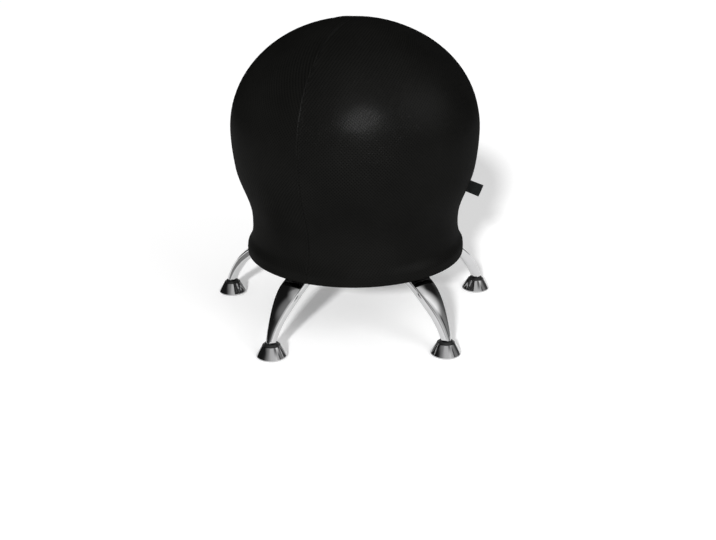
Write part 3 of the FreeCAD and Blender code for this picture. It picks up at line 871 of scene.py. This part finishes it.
tent = {
    "radius": 2.7, "strength": 1.4, "gain": 1.1, "steps": 16, "turnSteps": 48,
    # painted glow of the tent, which the shiny parts show as reflections, by its turn from the front, towards
    # +X: low down, higher up, and overhead
    "low": (
        (-180, 0.02), (-80, 0.012), (-62, 0.02), (-54, 0.05), (-46, 0.13), (-30, 0.3), (-5, 0.64),
        (25, 0.74), (36, 0.86), (42, 0.66), (58, 0.5), (61, 0.06), (66, 0.06), (70, 0.26), (88, 0.25),
        (96, 0.12), (106, 0.06), (118, 0.06), (132, 0.22), (180, 0.1),
    ),
    "high": (
        (-180, 0.01), (-90, 0.01), (-84, 0.03), (-76, 0.13), (-66, 0.2), (-50, 0.25), (-30, 0.3),
        (-12, 0.62), (20, 0.64), (30, 0.3), (36, 0.14), (50, 0.15), (57, 0.75), (68, 1.35), (80, 0.95),
        (90, 0.5), (98, 0.12), (102, 0.015), (180, 0.012),
    ),
    "top": (
        (-180, 0.08), (-102, 0.1), (-92, 0.4), (-70, 0.5), (-58, 0.7), (0, 0.6), (60, 0.5), (75, 0.8),
        (92, 0.75), (110, 0.25), (180, 0.08),
    ),
    "lowToHigh": (27.0, 42.0), "highToTop": (54.0, 66.0),   # heights in degrees between which they change
}


def shadeByTurn(n, turn, shades):
    stops = [((at + 180) / 360, (value / tent["strength"],) * 3) for at, value in shades]
    share = n.add("ShaderNodeMapRange", {"Value": turn, "From Min": -math.pi, "From Max": math.pi})
    return ramp(n, share.outputs["Result"], stops)


def makeTent():
    # a studio tent round the chair that glows light and dark by turns though it is no lamp, and that only
    # reflections see: painted reflections for the shiny parts
    bm = bmesh.new()
    steps = tent["steps"]
    verts = [bm.verts.new((0, -math.cos(math.pi / 2 * i / steps), math.sin(math.pi / 2 * i / steps)))
             for i in range(steps)]
    edges = [bm.edges.new(pair) for pair in zip(verts, verts[1:])]
    bmesh.ops.spin(bm, geom=verts + edges, cent=(0, 0, 0), axis=(0, 0, 1), dvec=(0, 0, 0),
                   angle=math.tau, steps=tent["turnSteps"], use_merge=True, use_duplicate=False)
    bmesh.ops.scale(bm, verts=bm.verts, vec=(tent["radius"],) * 3)
    n = Nodes("tentGlow")
    where = n.add("ShaderNodeTexCoord").outputs["Object"]
    way = n.add("ShaderNodeVectorMath", {0: where}, operation="NORMALIZE").outputs["Vector"]
    split = n.add("ShaderNodeSeparateXYZ", {"Vector": way})
    turn = n.math("ARCTAN2", split.outputs["X"], n.math("MULTIPLY", split.outputs["Y"], -1.0))
    height = n.math("ARCSINE", split.outputs["Z"])
    shade = shadeByTurn(n, turn, tent["low"])
    for reach, shades in ((tent["lowToHigh"], tent["high"]), (tent["highToTop"], tent["top"])):
        share = n.add("ShaderNodeMapRange", {"Value": height, "From Min": math.radians(reach[0]),
                                             "From Max": math.radians(reach[1])},
                      interpolation_type="SMOOTHSTEP").outputs["Result"]
        shade = n.add("ShaderNodeMix", {"Factor": share, 6: shade, 7: shadeByTurn(n, turn, shades)},
                      data_type="RGBA").outputs[2]
    n.link(shade, "Emission Color")
    n.shader.inputs["Base Color"].default_value = (0, 0, 0, 1)
    n.shader.inputs["Emission Strength"].default_value = tent["strength"] * tent["gain"]
    n.set(Roughness=1.0, Specular_IOR_Level=0.0)
    hideFromView(makePiece("studioTent", bm, n.material))


# painted shade: a grey patch that the chrome reflects in place of shaded floor
paintedFloorShade = {"half": 0.2, "at": (-0.5, -0.14, 0.0015), "shade": 0.3}


def makePaintedFloorShade():
    # a glowing grey patch on the floor at the left, that only reflections see: painted shade of the floor,
    # which the legs show in their reflection
    bm = bmesh.new()
    bmesh.ops.create_grid(bm, x_segments=1, y_segments=1, size=paintedFloorShade["half"])
    bmesh.ops.translate(bm, verts=bm.verts, vec=paintedFloorShade["at"])
    n = Nodes("paintedFloorShade")
    n.shader.inputs["Base Color"].default_value = (0, 0, 0, 1)
    n.shader.inputs["Emission Color"].default_value = (paintedFloorShade["shade"],) * 3 + (1,)
    n.shader.inputs["Emission Strength"].default_value = 1.0
    n.set(Roughness=1.0, Specular_IOR_Level=0.0)
    hideFromView(makePiece("paintedFloorShadeLeft", bm, n.material))


def aimFrom(turn, height, distance):
    # a place seen from the chair: turn from the front towards +X, height above the floor's plane
    a, h = math.radians(turn), math.radians(height)
    return Vector((math.sin(a) * math.cos(h), -math.cos(a) * math.cos(h), math.sin(h))) * distance


def makeLamp(name, kind, at, look, energy, **settings):
    data = bpy.data.lights.new(name, kind)
    data.energy = energy
    for key, value in settings.items():
        setattr(data, key, value)
    lamp = bpy.data.objects.new(name, data)
    bpy.context.scene.collection.objects.link(lamp)
    lamp.location = at
    lamp.rotation_euler = (Vector(look) - Vector(at)).to_track_quat("-Z", "Y").to_euler()
    return lamp


makeFloor()
makeTent()
makePaintedFloorShade()
sunFrom = aimFrom(studio["sunTurn"], studio["sunHeight"], studio["sunAway"])
keySun = makeLamp("keySun", "SUN", sunFrom, (0, 0, 0), studio["sun"], angle=math.radians(studio["sunSoft"]))
fillFrom = aimFrom(studio["fillTurn"], studio["fillHeight"], studio["fillAway"])
fill = makeLamp("fillLamp", "AREA", fillFrom, (0, 0, 0.3), studio["fill"],
                shape="DISK", size=studio["fillSize"])
for lamp in (keySun, fill):
    lamp.visible_glossy = False
glint = makeLamp("glintLamp", "SPOT", studio["glintAt"], studio["glintAim"], studio["glint"],
                 spot_size=math.radians(studio["glintSpread"]), spot_blend=1.0, shadow_soft_size=0.08)
sideFrom = aimFrom(studio["sideTurn"], studio["sideHeight"], studio["sideAway"])
side = makeLamp("sideLamp", "AREA", sideFrom, (0, 0, 0.4), studio["side"],
                shape="DISK", size=studio["sideSize"])
# these two only give the cloth its shine
cloths = bpy.data.collections.new("glintOn")
for piece in (coverPiece, stitches, tagPiece):
    cloths.objects.link(piece)
for lamp in (glint, side):
    lamp.visible_diffuse = False
    lamp.light_linking.receiver_collection = cloths

world = bpy.data.worlds.new("studioWorld")
bpy.context.scene.world = world
world.use_nodes = True
tree = world.node_tree
back = tree.nodes["Background"]
back.inputs["Color"].default_value = (1, 1, 1, 1)
level = tree.nodes.new("ShaderNodeMapRange")
level.inputs["To Min"].default_value = studio["ambient"]
level.inputs["To Max"].default_value = 1.0
tree.links.new(lookingRays(tree), level.inputs["Value"])
tree.links.new(level.outputs["Result"], back.inputs["Strength"])

view = {
    "imageW": 716,
    "distance": 1.7, "height": 0.7616, "turn": 1.515, "pitch": 21.99, "roll": -0.158,
    "focalPixels": 951.6, "axisPixel": 355.4,
}
cameraData = bpy.data.cameras.new("camera")
camera = bpy.data.objects.new("camera", cameraData)
bpy.context.scene.collection.objects.link(camera)
cameraData.sensor_width = 36
cameraData.lens = view["focalPixels"] / view["imageW"] * cameraData.sensor_width
cameraData.shift_x = (view["imageW"] / 2 - view["axisPixel"]) / view["imageW"]
cameraData.clip_start = 0.05
cameraData.clip_end = 100
turn = math.radians(view["turn"])
camera.location = (-view["distance"] * math.sin(turn), -view["distance"] * math.cos(turn), view["height"])
aim = Matrix.Rotation(-turn, 4, "Z") @ Matrix.Rotation(math.radians(90 - view["pitch"]), 4, "X")
camera.rotation_euler = (aim @ Matrix.Rotation(math.radians(view["roll"]), 4, "Z")).to_euler()
bpy.context.scene.camera = camera
bpy.context.scene.view_settings.view_transform = "Standard"
print("room and camera ready")
